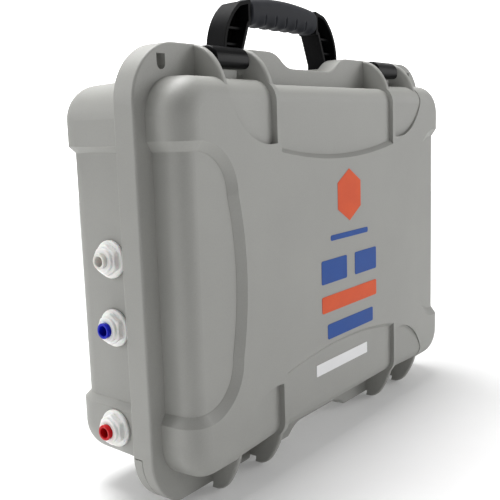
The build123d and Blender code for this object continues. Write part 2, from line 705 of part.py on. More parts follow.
def elbow(x_face, x_line, y, z, up):
    """A push-fit elbow: stem along X from x_face, socket along Z at x_line."""
    reach = 16.0
    z_end = z + up * reach
    body = rod(*sorted((x_face, x_line)), y, z, 5) + post(x_line, y, *sorted((z - up * 5.5, z_end)), 6)
    body -= rod(*sorted((x_face, x_line)), y, z, TUBE_BORE_R)
    body -= post(x_line, y, *sorted((z, z_end)), TUBE_BORE_R)
    return body - post(x_line, y, *sorted((z + up * 6, z_end)), TUBE_R)


def elbows():
    return [
        elbow(HOUSING_X[0], LINE_X_LEFT, 18, MEMBRANE_Z, -1),
        elbow(HOUSING_X[0], LINE_X_LEFT, 44, MEMBRANE_Z, -1),
        elbow(CAP_X[1], LINE_X_RIGHT, LANE_Y, MEMBRANE_Z, -1),
        elbow(CARTRIDGE_X[1], LINE_X_RIGHT, LANE_Y, CARBON_Z, 1),
        elbow(CARTRIDGE_X[0], CARTRIDGE_X[0] - 13, LANE_Y, CARBON_Z, -1),
        elbow(CARTRIDGE_X[0], CARTRIDGE_X[0] - 13, LANE_Y, SEDIMENT_Z, 1),
        elbow(CARTRIDGE_X[1], LINE_X_RIGHT, LANE_Y, SEDIMENT_Z, -1),
    ]


def tube(points, radii):
    """A 6.35 mm tube along straight runs joined by tangent arcs."""
    path = FilletPolyline(*points, radius=radii) if radii else Polyline(*points)
    ring = Circle(TUBE_R) - Circle(TUBE_BORE_R)
    start = Plane(origin=path @ 0, z_dir=path % 0)
    return sweep(start * ring, path)


def port_mouth(name):
    """Where the inner tube stops inside a port."""
    return (PORT_SEAT_X[name] - PORT_INNER_END - 12, PORT_Y, PORT_Z[name])


def feed_tube():
    z = PORT_Z["feed"]
    points = [port_mouth("feed"), (LINE_X_RIGHT, LANE_Y, z), (LINE_X_RIGHT, LANE_Y, SEDIMENT_Z - 6)]
    return tube(points, [26])


def prefilter_tube():
    x = CARTRIDGE_X[0] - 13
    return post(x, LANE_Y, SEDIMENT_Z + 6, CARBON_Z - 6, TUBE_R) - post(x, LANE_Y, -60, 60, TUBE_BORE_R)


def membrane_feed_tube():
    x = LINE_X_RIGHT
    return post(x, LANE_Y, CARBON_Z + 6, MEMBRANE_Z - 6, TUBE_R) - post(x, LANE_Y, 0, 90, TUBE_BORE_R)


def product_tube():
    x, z = LINE_X_LEFT, PORT_Z["product"]
    points = [(x, 44, MEMBRANE_Z - 6), (x, 44, 5), (x, LANE_Y, z), port_mouth("product")]
    return tube(points, [40, 13])


def restrictor():
    """Inline flow restrictor below the concentrate elbow."""
    top = MEMBRANE_Z - 16
    body = post(LINE_X_LEFT, 18, top - 18, top, 6.5) - post(LINE_X_LEFT, 18, top - 19, top + 1, TUBE_BORE_R)
    return body - post(LINE_X_LEFT, 18, top - 19, top - 12, TUBE_R)


def restrictor_nipple():
    """Short tube that joins the concentrate elbow to the flow restrictor."""
    top = MEMBRANE_Z - 6
    return post(LINE_X_LEFT, 18, top - 10, top, TUBE_R) - post(LINE_X_LEFT, 18, top - 11, top + 1, TUBE_BORE_R)


def waste_tube():
    x, z = LINE_X_LEFT, PORT_Z["waste"]
    top = MEMBRANE_Z - 28
    points = [(x, 18, top), (x, 18, top - 9), (x, LANE_Y, z), port_mouth("waste")]
    return tube(points, [12, 12])


# Graphics: plain shapes with no lettering

GRAPHIC_X = 7.0
GRAPHIC_Z = 39.0


def label_strip():
    """Blank white label in the lower panel of the lid."""
    y = -LID_DEPTH + END_STEP
    return slab(Location((0, -84.3)) * RectangleRounded(74, 8.5, 0.8), y - GRAPHIC_T, y)


def graphic(shapes):
    return [slab(shape, -LID_DEPTH - GRAPHIC_T, -LID_DEPTH) for shape in shapes]


def bar(x0, x1, z0, z1):
    middle = ((x0 + x1) / 2, (z0 + z1) / 2)
    return Location(middle) * RectangleRounded(x1 - x0, z1 - z0, 1.5)


def graphic_blue():
    return graphic([bar(-20, 34, 8, 12), bar(-33, 2, -22, -5), bar(14, 47, -22, -5), bar(-26, 41, -63, -52)])


def graphic_orange():
    sign = Location((GRAPHIC_X, GRAPHIC_Z), 30) * RegularPolygon(19, 6)
    return graphic([sign, bar(-33, 47, -43, -31)])


def main():
    export("base_shell", base_shell())
    export("lid_shell", lid_shell())
    export("lid_gasket", gasket())
    export("lid_foam", lid_foam())
    export("hinge_pins", hinge_pins())
    export("latch_pins", latch_pins())
    export("handle_pins", handle_pins())
    right_latch = latch()
    export("latch_right", right_latch)
    export("latch_left", mirrored(right_latch))
    export("handle_frame", handle_frame())
    export("handle_grip", handle_grip())
    for name in PORT_Z:
        export(f"{name}_port", port_body(name))
        export(f"{name}_collet", collet(name))
        export(f"{name}_lock_nut", port_nut(name))
        export(f"{name}_oring", port_oring(name))
    export("backing_plate", backing_plate())
    export("plate_screws", plate_screws())
    export("membrane_clips", [clip(*place) for place in CLIPS[:2]])
    export("cartridge_clips", [clip(*place) for place in CLIPS[2:]])
    export("clip_screws", clip_screws())
    export("membrane_housing", membrane_housing())
    export("membrane_element", membrane_element())
    export("membrane_tube", membrane_tube())
    export("membrane_cap", membrane_cap())
    export("cap_oring", cap_oring())
    export("carbon_cartridge", cartridge(CARBON_Z))
    export("carbon_block", cartridge_core(CARBON_Z))
    export("sediment_cartridge", cartridge(SEDIMENT_Z))
    export("sediment_element", cartridge_core(SEDIMENT_Z))
    export("elbows", elbows())
    export("feed_tube", feed_tube())
    export("prefilter_tube", prefilter_tube())
    export("membrane_feed_tube", membrane_feed_tube())
    export("product_tube", product_tube())
    export("flow_restrictor", restrictor())
    export("restrictor_nipple", restrictor_nipple())
    export("waste_tube", waste_tube())
    export("label_strip", label_strip())
    export("graphic_blue", graphic_blue())
    export("graphic_orange", graphic_orange())


main()
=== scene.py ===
# %% [markdown]
# Portable reverse osmosis unit
#
# The object is a water purifier built into a moulded carrying case that stands on its hinge side.
# Outside it shows two ribbed case shells, two lever latches, a folding handle and three push-fit
# tube ports. Inside the case are a membrane housing, two inline cartridges and their tubes.
# The design model already holds every shape that has to fit. This lesson keeps those shapes,
# rebuilds the ones whose looks depend on soft curves, and gives each one a finish.

# %% Load the fixed frame and keep its box
import json

import bmesh
import bpy
import numpy as np
from mathutils import Matrix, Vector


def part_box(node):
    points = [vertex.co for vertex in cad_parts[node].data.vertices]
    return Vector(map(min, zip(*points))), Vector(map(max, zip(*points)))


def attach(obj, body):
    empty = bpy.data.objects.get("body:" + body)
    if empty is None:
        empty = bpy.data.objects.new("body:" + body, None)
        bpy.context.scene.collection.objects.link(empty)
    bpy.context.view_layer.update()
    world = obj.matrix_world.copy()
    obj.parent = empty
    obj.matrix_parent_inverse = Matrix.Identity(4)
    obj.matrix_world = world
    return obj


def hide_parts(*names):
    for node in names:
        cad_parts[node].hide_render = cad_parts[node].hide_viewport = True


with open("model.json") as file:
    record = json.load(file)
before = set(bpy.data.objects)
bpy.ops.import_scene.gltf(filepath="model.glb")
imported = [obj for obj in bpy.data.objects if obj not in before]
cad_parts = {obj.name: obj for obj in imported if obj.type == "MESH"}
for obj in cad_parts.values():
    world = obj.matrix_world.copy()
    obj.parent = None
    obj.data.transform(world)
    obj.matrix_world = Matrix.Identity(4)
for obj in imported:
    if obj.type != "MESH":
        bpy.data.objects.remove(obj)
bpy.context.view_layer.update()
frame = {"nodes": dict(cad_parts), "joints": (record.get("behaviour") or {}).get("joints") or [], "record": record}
MM = 0.001
joint_at = {joint["name"]: np.array(joint.get("pos_m", (0, 0, 0))) for joint in frame["joints"]}

# %% [markdown]
# ## Camera
#
# The case is seen from its lower left corner, slightly from above, with a longish lens. A camera is
# a 4x4 matrix: its first three columns say where its right, its up and its back point, and the last
# says where it stands. Building the columns from a yaw, a pitch and a small roll keeps each number
# meaningful, where three Euler angles would not.

# %% Camera
EYE = (-0.4832, -0.3363, 0.2301)
YAW, PITCH, ROLL = 0.917, 0.154, -0.033
ahead = np.array((np.sin(YAW) * np.cos(PITCH), np.cos(YAW) * np.cos(PITCH), -np.sin(PITCH)))
level = np.array((np.cos(YAW), -np.sin(YAW), 0.0))
upward = np.cross(level, ahead)
right = np.cos(ROLL) * level + np.sin(ROLL) * upward
up = np.cos(ROLL) * upward - np.sin(ROLL) * level
camera_data = bpy.data.cameras.new("camera")
camera_data.lens, camera_data.sensor_width = 55.3, 36.0
camera_data.shift_y = -0.0046
camera_data.clip_start = 0.01
camera = bpy.data.objects.new("camera", camera_data)
bpy.context.scene.collection.objects.link(camera)
pose = np.eye(4)
pose[:3] = np.stack((right, up, -ahead, EYE), 1)
camera.matrix_world = Matrix(pose.tolist())
bpy.context.scene.camera = camera
print("camera looks along", ahead.round(3))

# %% [markdown]
# ## Material helpers
#
# Every finish here is one shader whose colour, roughness and bump are driven by noise in object
# coordinates, so the grain has a real size in millimetres and stays on the piece when it moves.
# A picture texture could do it too, but it would need unwrapping and would blur close up.

# %% Material helpers
RAMP_ENDS = (0.32, 0.68)    # where the noise is all dark and all light


def add(tree, kind, **settings):
    """Adds a node and sets its properties, or its inputs where the name is an input's."""
    node = tree.nodes.new("ShaderNode" + kind)
    for key, value in settings.items():
        name = key.replace("_", " ").capitalize()
        if name in node.inputs:
            node.inputs[name].default_value = value
        else:
            setattr(node, key, value)
    return node


def finish(name, light, dark, rough, spread=0.06, patch=60.0, grain=1400.0, depth=0.03, coat=0.0,
           sheen=0.0, metal=0.0, stretch=(1, 1, 1), fleck=0.35, see_through=0.0, soft_light=0.0,
           shine=0.5, glow=0.0):
    """A moulded finish. Colour runs from dark to light with patchy noise and fine flecks, roughness
    spreads about rough with the same noise, and bump has a grain of 1 / grain metres and a height
    of depth mm."""
    material = bpy.data.materials.new(name)
    material.use_nodes = True
    tree = material.node_tree
    shader = tree.nodes["Principled BSDF"]
    place = add(tree, "TexCoord").outputs["Object"]
    mapping = add(tree, "Mapping")
    mapping.inputs["Scale"].default_value = stretch
    tree.links.new(place, mapping.inputs["Vector"])
    patches = add(tree, "TexNoise", scale=patch, detail=3.0, roughness=0.55)
    flecks = add(tree, "TexNoise", scale=grain * 0.6, detail=2.0, roughness=0.6)
    bumps = add(tree, "TexNoise", scale=grain, detail=2.0, roughness=0.5)
    for noise in (patches, flecks, bumps):
        tree.links.new(mapping.outputs["Vector"], noise.inputs["Vector"])
    mix = add(tree, "Mix", data_type="FLOAT")
    mix.inputs["Factor"].default_value = fleck
    tree.links.new(patches.outputs["Fac"], mix.inputs["A"])
    tree.links.new(flecks.outputs["Fac"], mix.inputs["B"])
    ramp = add(tree, "ValToRGB")
    for stop, position, colour in zip(ramp.color_ramp.elements, RAMP_ENDS, (dark, light)):
        stop.position, stop.color = position, (*colour, 1)
    tree.links.new(mix.outputs["Result"], ramp.inputs["Fac"])
    tree.links.new(ramp.outputs["Color"], shader.inputs["Base Color"])
    band = add(tree, "MapRange")
    band.inputs["To Min"].default_value = rough - spread
    band.inputs["To Max"].default_value = rough + spread
    tree.links.new(mix.outputs["Result"], band.inputs["Value"])
    tree.links.new(band.outputs["Result"], shader.inputs["Roughness"])
    bump = add(tree, "Bump")
    bump.inputs["Strength"].default_value = 0.6
    bump.inputs["Distance"].default_value = depth * MM
    tree.links.new(bumps.outputs["Fac"], bump.inputs["Height"])
    tree.links.new(bump.outputs["Normal"], shader.inputs["Normal"])
    constants = {
        "Coat Weight": coat, "Coat Roughness": 0.25, "Sheen Weight": sheen, "Metallic": metal,
        "Specular IOR Level": shine, "Emission Color": (1, 1, 1, 1), "Emission Strength": glow,
        "Transmission Weight": see_through, "Subsurface Weight": soft_light,
        "Subsurface Scale": 1.5 * MM,
    }
    for name_of_input, value in constants.items():
        shader.inputs[name_of_input].default_value = value
    return material


print("material helper ready")

# %% [markdown]
# ## Finishes
#
# The case is a warm grey, fibre-toughened plastic with a spark-eroded grain of about 0.5 mm. The
# handle frame and the latches are black; the latches are smoother, so their highlights are tighter.
# The ports are white acetal, which lets a little light in, and their sliding collets carry the
# colour code of each tube. Stainless pins are brushed along their length, so their noise is
# stretched.

# %% Finishes
FINISHES = {
    "case_grey": finish("case_grey", (0.335, 0.335, 0.316), (0.297, 0.297, 0.28), 0.52,
                        patch=14, grain=1900, depth=0.045, fleck=0.4),
    "handle_black": finish("handle_black", (0.0075, 0.0075, 0.008), (0.0035, 0.0035, 0.004), 0.5,
                           grain=1700, depth=0.05, shine=0.05),
    "grip_rubber": finish("grip_rubber", (0.017, 0.0185, 0.024), (0.012, 0.013, 0.0175), 0.6,
                          grain=1500, depth=0.06, sheen=0.04, shine=0.16),
    "latch_black": finish("latch_black", (0.005, 0.005, 0.0055), (0.0025, 0.0025, 0.003), 0.34,
                          grain=1300, depth=0.03, shine=0.08),
    "fitting_white": finish("fitting_white", (0.90, 0.90, 0.885), (0.84, 0.84, 0.825), 0.42,
                            patch=90, depth=0.015, soft_light=0.15),
    "collet_white": finish("collet_white", (0.78, 0.77, 0.73), (0.70, 0.69, 0.65), 0.4,
                           patch=120, depth=0.012, soft_light=0.12),
    "collet_blue": finish("collet_blue", (0.002, 0.010, 0.50), (0.002, 0.007, 0.40), 0.35,
                          patch=120, depth=0.012, shine=0.25),
    "collet_red": finish("collet_red", (0.62, 0.005, 0.011), (0.52, 0.003, 0.008), 0.35,
                         patch=120, depth=0.012, shine=0.25),
    "seal_black": finish("seal_black", (0.016, 0.016, 0.016), (0.009, 0.009, 0.009), 0.5,
                         grain=2200, depth=0.02, sheen=0.15),
    "steel": finish("steel", (0.62, 0.62, 0.61), (0.50, 0.50, 0.49), 0.28, metal=1.0,
                    stretch=(0.04, 1, 1), grain=2600, depth=0.008),
    "foam_charcoal": finish("foam_charcoal", (0.045, 0.046, 0.05), (0.018, 0.018, 0.02), 0.9,
                            patch=400, grain=900, depth=0.5, sheen=0.5, fleck=0.6),
    "plate_grey": finish("plate_grey", (0.27, 0.28, 0.29), (0.22, 0.23, 0.24), 0.45, patch=20,
                         grain=900, depth=0.03),
    "housing_white": finish("housing_white", (0.83, 0.83, 0.82), (0.78, 0.78, 0.77), 0.22,
                            patch=30, grain=500, depth=0.01, coat=0.3, soft_light=0.1),
    "media_black": finish("media_black", (0.03, 0.03, 0.03), (0.01, 0.01, 0.01), 0.8,
                          grain=1200, depth=0.2, fleck=0.7),
    "media_cream": finish("media_cream", (0.76, 0.73, 0.63), (0.66, 0.62, 0.52), 0.85,
                          grain=900, depth=0.2, stretch=(5, 1, 1), sheen=0.3),
    "membrane_film": finish("membrane_film", (0.70, 0.71, 0.66), (0.60, 0.61, 0.57), 0.4,
                            stretch=(0.3, 1, 1), grain=600, depth=0.04),
    "tube_white": finish("tube_white", (0.80, 0.81, 0.80), (0.74, 0.75, 0.75), 0.3, patch=40,
                         grain=700, depth=0.008, see_through=0.15, soft_light=0.2),
    "label_white": finish("label_white", (0.80, 0.80, 0.81), (0.76, 0.76, 0.77), 0.3, patch=50,
                          grain=2500, depth=0.006, coat=0.25),
    "ink_blue": finish("ink_blue", (0.012, 0.075, 0.33), (0.009, 0.06, 0.28), 0.5, patch=60,
                       grain=1900, depth=0.02, shine=0.2),
    "ink_orange": finish("ink_orange", (0.72, 0.095, 0.02), (0.64, 0.075, 0.016), 0.5, patch=60,
                         grain=1900, depth=0.02, shine=0.2),
}
SLOT_OF = {part["node"]: part["material_slot"] for part in frame["record"]["subparts"]}
for node_name, node in frame["nodes"].items():
    node.data.materials.clear()
    node.data.materials.append(FINISHES[SLOT_OF[node_name]])
print(len(frame["nodes"]), "nodes have one of", len(FINISHES), "finishes")

# %% [markdown]
# ## Surface helpers
#
# A grid of points is the simplest surface there is: row i, column j. Joining each point to its
# neighbours gives quads, and wrapping a row or a column round on itself closes a tube or a ring.
# Working on whole arrays keeps the formulas short and makes the shape easy to change.

# %% Surface helpers
def surface(name, points, wrap_rows=False, wrap_columns=True, caps=False, sharp=35.0):
    """Quads between neighbouring grid points; wrapping joins the last row or column to the first,
    and caps close the first and last rows. Edges that turn more than sharp degrees stay crisp."""
    rows, columns = points.shape[:2]
    number = np.arange(rows * columns).reshape(rows, columns)
    first, last = number[0].tolist(), number[-1].tolist()
    if wrap_rows:
        number = np.vstack((number, number[:1]))
    if wrap_columns:
        number = np.hstack((number, number[:, :1]))
    quads = np.stack((number[:-1, :-1], number[1:, :-1], number[1:, 1:], number[:-1, 1:]), -1)
    faces = quads.reshape(-1, 4).tolist() + ([first, last] if caps else [])
    mesh = bpy.data.meshes.new(name)
    mesh.from_pydata(points.reshape(-1, 3).tolist(), [], faces)
    return tidy(name, mesh, sharp)


def tidy(name, mesh, sharp):
    """Turns every face outwards, smooths the shading and links the finished object."""
    work = bmesh.new()
    work.from_mesh(mesh)
    bmesh.ops.remove_doubles(work, verts=work.verts, dist=1e-6)
    bmesh.ops.recalc_face_normals(work, faces=work.faces)
    work.to_mesh(mesh)
    work.free()
    mesh.shade_smooth()
    mesh.set_sharp_from_angle(angle=np.radians(sharp))
    piece = bpy.data.objects.new(name, mesh)
    bpy.context.scene.collection.objects.link(piece)
    return piece


def fit(piece, body, slot, *nodes):
    """Gives a piece its body, its finish and the design nodes it stands for."""
    piece.data.materials.clear()
    piece.data.materials.append(FINISHES[slot])
    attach(piece, body)
    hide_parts(*nodes)
    print(piece.name, len(piece.data.vertices), "points")


def rounded(corners, radii, steps=8):
    """A closed outline with each corner rounded: the arc's centre lies on the corner's bisector at
    radius / sin(half the corner's angle), and the arc runs between the two tangent points."""
    corners = np.array(corners, float)
    radii = np.broadcast_to(np.array(radii, float), len(corners))[:, None]
    back = np.roll(corners, 1, 0) - corners
    on = np.roll(corners, -1, 0) - corners
    back /= np.linalg.norm(back, axis=1, keepdims=True)
    on /= np.linalg.norm(on, axis=1, keepdims=True)
    half = np.arccos(np.clip((back * on).sum(1, keepdims=True), -1, 1)) / 2
    middle = back + on
    middle /= np.linalg.norm(middle, axis=1, keepdims=True)
    centre = corners + middle * radii / np.sin(half)
    start = corners + back * radii / np.tan(half) - centre
    end = corners + on * radii / np.tan(half) - centre
    a0 = np.arctan2(start[:, 1], start[:, 0])[:, None]
    a1 = np.arctan2(end[:, 1], end[:, 0])[:, None]
    turn = (a1 - a0 + np.pi) % (2 * np.pi) - np.pi
    angle = a0 + turn * np.linspace(0, 1, steps)
    arcs = centre[:, None] + radii[:, None] * np.stack((np.cos(angle), np.sin(angle)), -1)
    return arcs.reshape(-1, 2)


def shrunk(loop, amount):
    """The outline moved inwards by amount along each point's normal, the mean of its edges'."""
    on = np.roll(loop, -1, 0) - np.roll(loop, 1, 0)
    on /= np.linalg.norm(on, axis=1, keepdims=True)
    area = np.sum(loop[:, 0] * np.roll(loop[:, 1], -1) - np.roll(loop[:, 0], -1) * loop[:, 1])
    inward = np.stack((-on[:, 1], on[:, 0]), -1) * np.sign(area)
    return loop + inward * amount


print("surface helpers ready")

# %% [markdown]
# ## Tube ports
#
# Each port is a turned and milled bulkhead union: a flat disc that seals on the wall, a hexagon for
# the spanner, a round collar and a threaded shank. Turning it on one grid needs only a radius for
# each station along the axis. The hexagon is a radius that changes with the angle, cut by a cone at
# its front, which gives the curved chamfer of a real nut. The thread is a ripple that climbs by one
# pitch in a turn.

# %% Tube ports
PORT_NAMES = ("waste", "product", "feed")
PORT_TIP = 8.3              # the collar's end stands this far off the seat; these are all in mm
HEX_FLAT = 8.85             # half the distance across the flats
HEX_CORNER = 9.75           # radius that the hexagon's corners are turned down to
SHANK_RADIUS = 7.9
SHANK_ENDS = (-0.4, -23.6)
SHANK_RINGS = 94
THREAD_PITCH = 1.5
THREAD_DEPTH = 0.32
ROUND_STATIONS = [          # distance outwards from the seat, radius
    (-24, 3.175), (-12, 3.175), (-12, 2.15), (-8.2, 2.15), (-8.2, 3.245), (-3.6, 3.245),
    (-3.6, 4.9), (-1.2, 4.9), (-1.2, 4.35), (7.8, 4.35), (8.3, 4.85), (8.3, 6.9), (8.2, 7.25),
    (7.95, 7.5), (7.6, 7.6), (6.3, 7.6),
]
HEX_STATIONS = [
    (6.3, 7.9), (6.3, 8.5), (6.1, 8.95), (5.8, 9.35), (5.35, 9.75), (2.9, 9.75), (2.6, 9.75),
]
DISC_STATIONS = [
    (2.6, 10.9), (2.5, 11.3), (2.2, 11.62), (1.8, 11.78), (1.3, 11.8), (0.6, 11.75), (0.2, 11.5),
    (0.0, 11.2), (0.0, SHANK_RADIUS),
]
SHANK_STATIONS = [(out, SHANK_RADIUS) for out in np.linspace(*SHANK_ENDS, SHANK_RINGS)]
END_STATIONS = [(-24.0, 7.4)]
PORT_PARTS = (ROUND_STATIONS, HEX_STATIONS, DISC_STATIONS, SHANK_STATIONS, END_STATIONS)
HEXAGON, SHANK = 1, 3       # places in the list of parts
PORT_ANGLES = 120


def port_points(low, high):
    """Stations along the axis by angles round it. Radius = the station's, or on the hexagon the
    smaller of the station's and flat / cos(angle from the nearest flat's middle), capped at the
    corner; on the shank it drops by a saw that climbs one pitch a turn."""
    angle = np.linspace(0, 2 * np.pi, PORT_ANGLES, endpoint=False)
    stations = np.array([station for part in PORT_PARTS for station in part])
    part = np.repeat(np.arange(len(PORT_PARTS)), [len(part) for part in PORT_PARTS])[:, None]
    out, radius = stations[:, :1], np.repeat(stations[:, 1:], angle.size, 1)
    off_flat = (angle + np.pi / 6) % (np.pi / 3) - np.pi / 6
    hexagon = np.minimum(HEX_FLAT / np.cos(off_flat), HEX_CORNER)
    radius = np.where(part == HEXAGON, np.minimum(radius, hexagon), radius)
    climb = (out / THREAD_PITCH + angle / (2 * np.pi)) % 1.0
    saw = THREAD_DEPTH * np.abs(2 * climb - 1)
    radius = np.where(part == SHANK, radius - saw, radius)
    return spun(low, high, out, radius, angle, PORT_TIP)


def spun(low, high, out, radius, angle, tip):
    """Points of a turned piece on the port's axis: x = seat - out, y and z on circles of radius."""
    seat = low[0] + tip * MM
    y_axis, z_axis = (low[1] + high[1]) / 2, (low[2] + high[2]) / 2
    x = np.broadcast_to(seat - out * MM, radius.shape)
    y = y_axis + radius * MM * np.cos(angle)
    z = z_axis + radius * MM * np.sin(angle)
    return np.stack((x, y, z), -1)


for port in PORT_NAMES:
    node = port + "_port"
    union = surface(port + "_union", port_points(*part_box(node)), wrap_rows=True)
    fit(union, "case", "fitting_white", node)

# %% [markdown]
# ## Collets
#
# The collet is the ring that is pushed in to let the tube go. It slides in the port, so it is its
# own piece on its own body. Its cut section is closed, with a turned radius on each outer corner
# and a lead-in for the tube.

# %% Collets
COLLET_TIP = 11.2
COLLET_ANGLES = 96
COLLET_STATIONS = [         # distance outwards from the seat, radius
    (0.6, 3.3), (0.6, 4.2), (0.8, 4.27), (10.0, 4.27), (10.0, 4.7), (10.1, 4.86), (10.25, 4.9),
    (10.75, 4.9), (11.0, 4.8), (11.15, 4.6), (11.2, 4.4), (11.2, 3.7), (11.1, 3.45), (10.8, 3.27),
    (10.4, 3.245), (1.4, 3.245),
]
stations = np.array(COLLET_STATIONS)
around = np.linspace(0, 2 * np.pi, COLLET_ANGLES, endpoint=False)
for port in PORT_NAMES:
    node = port + "_collet"
    ring = np.repeat(stations[:, 1:], around.size, 1)
    points = spun(*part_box(node), stations[:, 0:1], ring, around, COLLET_TIP)
    fit(surface(port + "_release_ring", points, wrap_rows=True), node, SLOT_OF[node], node)

# %% [markdown]
# ## Latches
#
# A latch is one moulded lever: a barrel round its pin, a broad arm over the rim and a nose that
# comes down over the lid's keeper. Its side view is an outline with rounded corners. Carrying that
# outline along the pin, and shrinking it by a quarter circle at both ends, rounds the end faces as
# a mould does. A shallow thumb dish is pressed into the top by moving the points down.

# %% Latches
LATCH_EDGE = 1.3            # radius of the end faces' edges; these are all in mm
LATCH_EDGE_STEPS = 7
LATCH_ROUND = 200           # points round the outline
LATCH_ACROSS = 65           # outlines between the rounded edges
DISH_DEPTH = 1.5
DISH_AT = -13.0             # from the pin, to the front
DISH_HALF = (10.5, 7.0)     # along the pin, and across it
DISH_FADE = (6, 9)          # only points this high above the pin are moved
LATCH_CORNERS = [           # from the pin, to the back and up
    (6.3, -6.3), (6.3, 6.0), (1.5, 9.3), (-29.4, 9.3), (-29.4, -4.3), (-20.6, -4.3), (-20.6, 2.9),
    (-6.3, 2.9), (-6.3, -6.3),
]
LATCH_RADII = [5.5, 3.0, 6.0, 8.5, 3.6, 1.6, 2.0, 2.0, 5.5]


def evenly(loop, count):
    """The closed outline's points, spread again at equal steps along its length."""
    loop = np.vstack((loop, loop[:1]))
    length = np.concatenate(([0], np.cumsum(np.linalg.norm(np.diff(loop, axis=0), axis=1))))
    steps = np.linspace(0, length[-1], count, endpoint=False)
    return np.stack([np.interp(steps, length, loop[:, axis]) for axis in (0, 1)], -1)


def step_up(value, start, end):
    """0 before start, 1 after end, and a smooth 3t^2 - 2t^3 between them."""
    t = np.clip((value - start) / (end - start), 0, 1)
    return t * t * (3 - 2 * t)


def latch_points(low, high, pin):
    """Across by outline: at depth d from an end the outline is shrunk by r - sqrt(r^2 - (r - d)^2),
    and the top goes down by exp(-(x / half)^4 - (y / half)^4) for the thumb."""
    loop = evenly(rounded(LATCH_CORNERS, LATCH_RADII), LATCH_ROUND)
    width = (high[0] - low[0]) / MM
    into = LATCH_EDGE * (1 - np.cos(np.linspace(0, np.pi / 2, LATCH_EDGE_STEPS)))
    between = np.linspace(LATCH_EDGE, width - LATCH_EDGE, LATCH_ACROSS + 2)[1:-1]
    x = np.concatenate((into, between, width - into[::-1]))
    depth = np.minimum(np.minimum(x, width - x), LATCH_EDGE)
    shrink = LATCH_EDGE - np.sqrt(LATCH_EDGE ** 2 - (LATCH_EDGE - depth) ** 2)
    loops = np.stack([shrunk(loop, s) for s in shrink])
    middle = (x - width / 2)[:, None]
    y, z = loops[..., 0], loops[..., 1]
    dish = np.exp(-(middle / DISH_HALF[0]) ** 4 - ((y - DISH_AT) / DISH_HALF[1]) ** 4)
    dish = DISH_DEPTH * dish * step_up(z, *DISH_FADE)
    across = np.broadcast_to(low[0] + x[:, None] * MM, y.shape)
    return np.stack((across, pin[1] + y * MM, pin[2] + (z - dish) * MM), -1)


for side in ("left", "right"):
    node = "latch_" + side
    points = latch_points(*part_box(node), joint_at[node + "_pivot"])
    fit(surface(node + "_lever", points, caps=True), node, "latch_black", node)

# %% [markdown]
# ## Handle grip
#
# The grip is a soft sleeve on the handle's core. From the end it is an oval with flat cheeks, a
# superellipse; along its length the top follows the handle's arch and the underside has five
# shallow scallops for the fingers, with a short curved groove beside each. All of them are
# functions of the place along the grip and of the angle round it, so one grid holds everything.

# %% Handle grip
GRIP_FINGERS = 5
GRIP_PITCH = 13.0 * MM
GRIP_SHOULDER = 3.4 * MM    # the top is this much lower at the ends than in the middle
GRIP_END = 1.6 * MM         # radius of the end faces' edges
GRIP_END_STEPS = 7
GRIP_RINGS = 260            # rings between the rounded ends
GRIP_ANGLES = 128
GRIP_POWER = 2.6            # 2 is an ellipse, and more has flatter cheeks
SCALLOP_DEPTH = 0.9 * MM
SCALLOP_FADE = 8 * MM       # the scallops fade out over this length at each end
GROOVE_DEPTH = 0.8 * MM
GROOVE_HALF = 0.75 * MM
GROOVE_BEND = 3.0 * MM      # a groove's lower end is this far along from its upper end
GROOVE_UPPER = (0.12, 0.32)     # it fades in below the cheek's middle, in half heights
GROOVE_LOWER = (-0.93, -0.8)    # and out before the underside


def grip_points(low, high):
    """Along x by angle: y and z follow a superellipse, half as deep and half as high as the grip is
    at that x; the underside rises by a cosine with one wave for each finger, and each cheek is cut
    by curved grooves exp(-(distance from the groove's line / half width)^2)."""
    reach, middle = (high[0] - low[0]) / 2, (high[0] + low[0]) / 2
    turn = GRIP_END * (1 - np.cos(np.linspace(0, np.pi / 2, GRIP_END_STEPS)))
    inner = np.linspace(-reach + GRIP_END, reach - GRIP_END, GRIP_RINGS)
    x = np.concatenate((-reach + turn[:-1], inner, reach - turn[::-1][1:]))
    depth = np.minimum(reach - np.abs(x), GRIP_END)
    shrink = GRIP_END - np.sqrt(GRIP_END ** 2 - (GRIP_END - depth) ** 2)
    top = high[2] - GRIP_SHOULDER * (x / reach) ** 2
    wave = (1 - np.cos(2 * np.pi * x / GRIP_PITCH)) / 2
    under = low[2] + SCALLOP_DEPTH * wave * step_up(-np.abs(x), -reach, -reach + SCALLOP_FADE)
    angle = np.linspace(0, 2 * np.pi, GRIP_ANGLES, endpoint=False)
    round_y, round_z = (np.sign(part(angle)) * np.abs(part(angle)) ** (2 / GRIP_POWER)
                        for part in (np.cos, np.sin))
    fingers = (np.arange(GRIP_FINGERS) - (GRIP_FINGERS - 1) / 2) * GRIP_PITCH
    bend = GROOVE_BEND * np.sin(angle) ** 2
    away = x[:, None, None] - fingers - bend[None, :, None]
    window = step_up(-round_z, *GROOVE_UPPER) * step_up(round_z, *GROOVE_LOWER)
    groove = (np.exp(-(away / GROOVE_HALF) ** 2).max(-1) * window) * GROOVE_DEPTH
    deep = (high[1] - low[1]) / 2 - shrink[:, None] - groove
    tall = ((top - under) / 2 - shrink)[:, None]
    y = (high[1] + low[1]) / 2 + deep * round_y
    z = ((top + under) / 2)[:, None] + tall * round_z
    return np.stack((np.broadcast_to((middle + x)[:, None], y.shape), y, z), -1)


grip = surface("handle_sleeve", grip_points(*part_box("handle_grip")), caps=True, sharp=50)
fit(grip, "handle", "grip_rubber", "handle_grip")

# %% [markdown]
# ## Handle frame
#
# The frame's shape is already right, but a moulded part never has knife edges. A copy of it is
# cleaned, its flat faces are merged, and a Bevel modifier rounds what is left.

# %% Handle frame
MERGE_WITHIN = 2e-6
FLAT_WITHIN = np.radians(1.5)
BEVEL_FROM = np.radians(40)
BOW_EDGE = 0.5 * MM


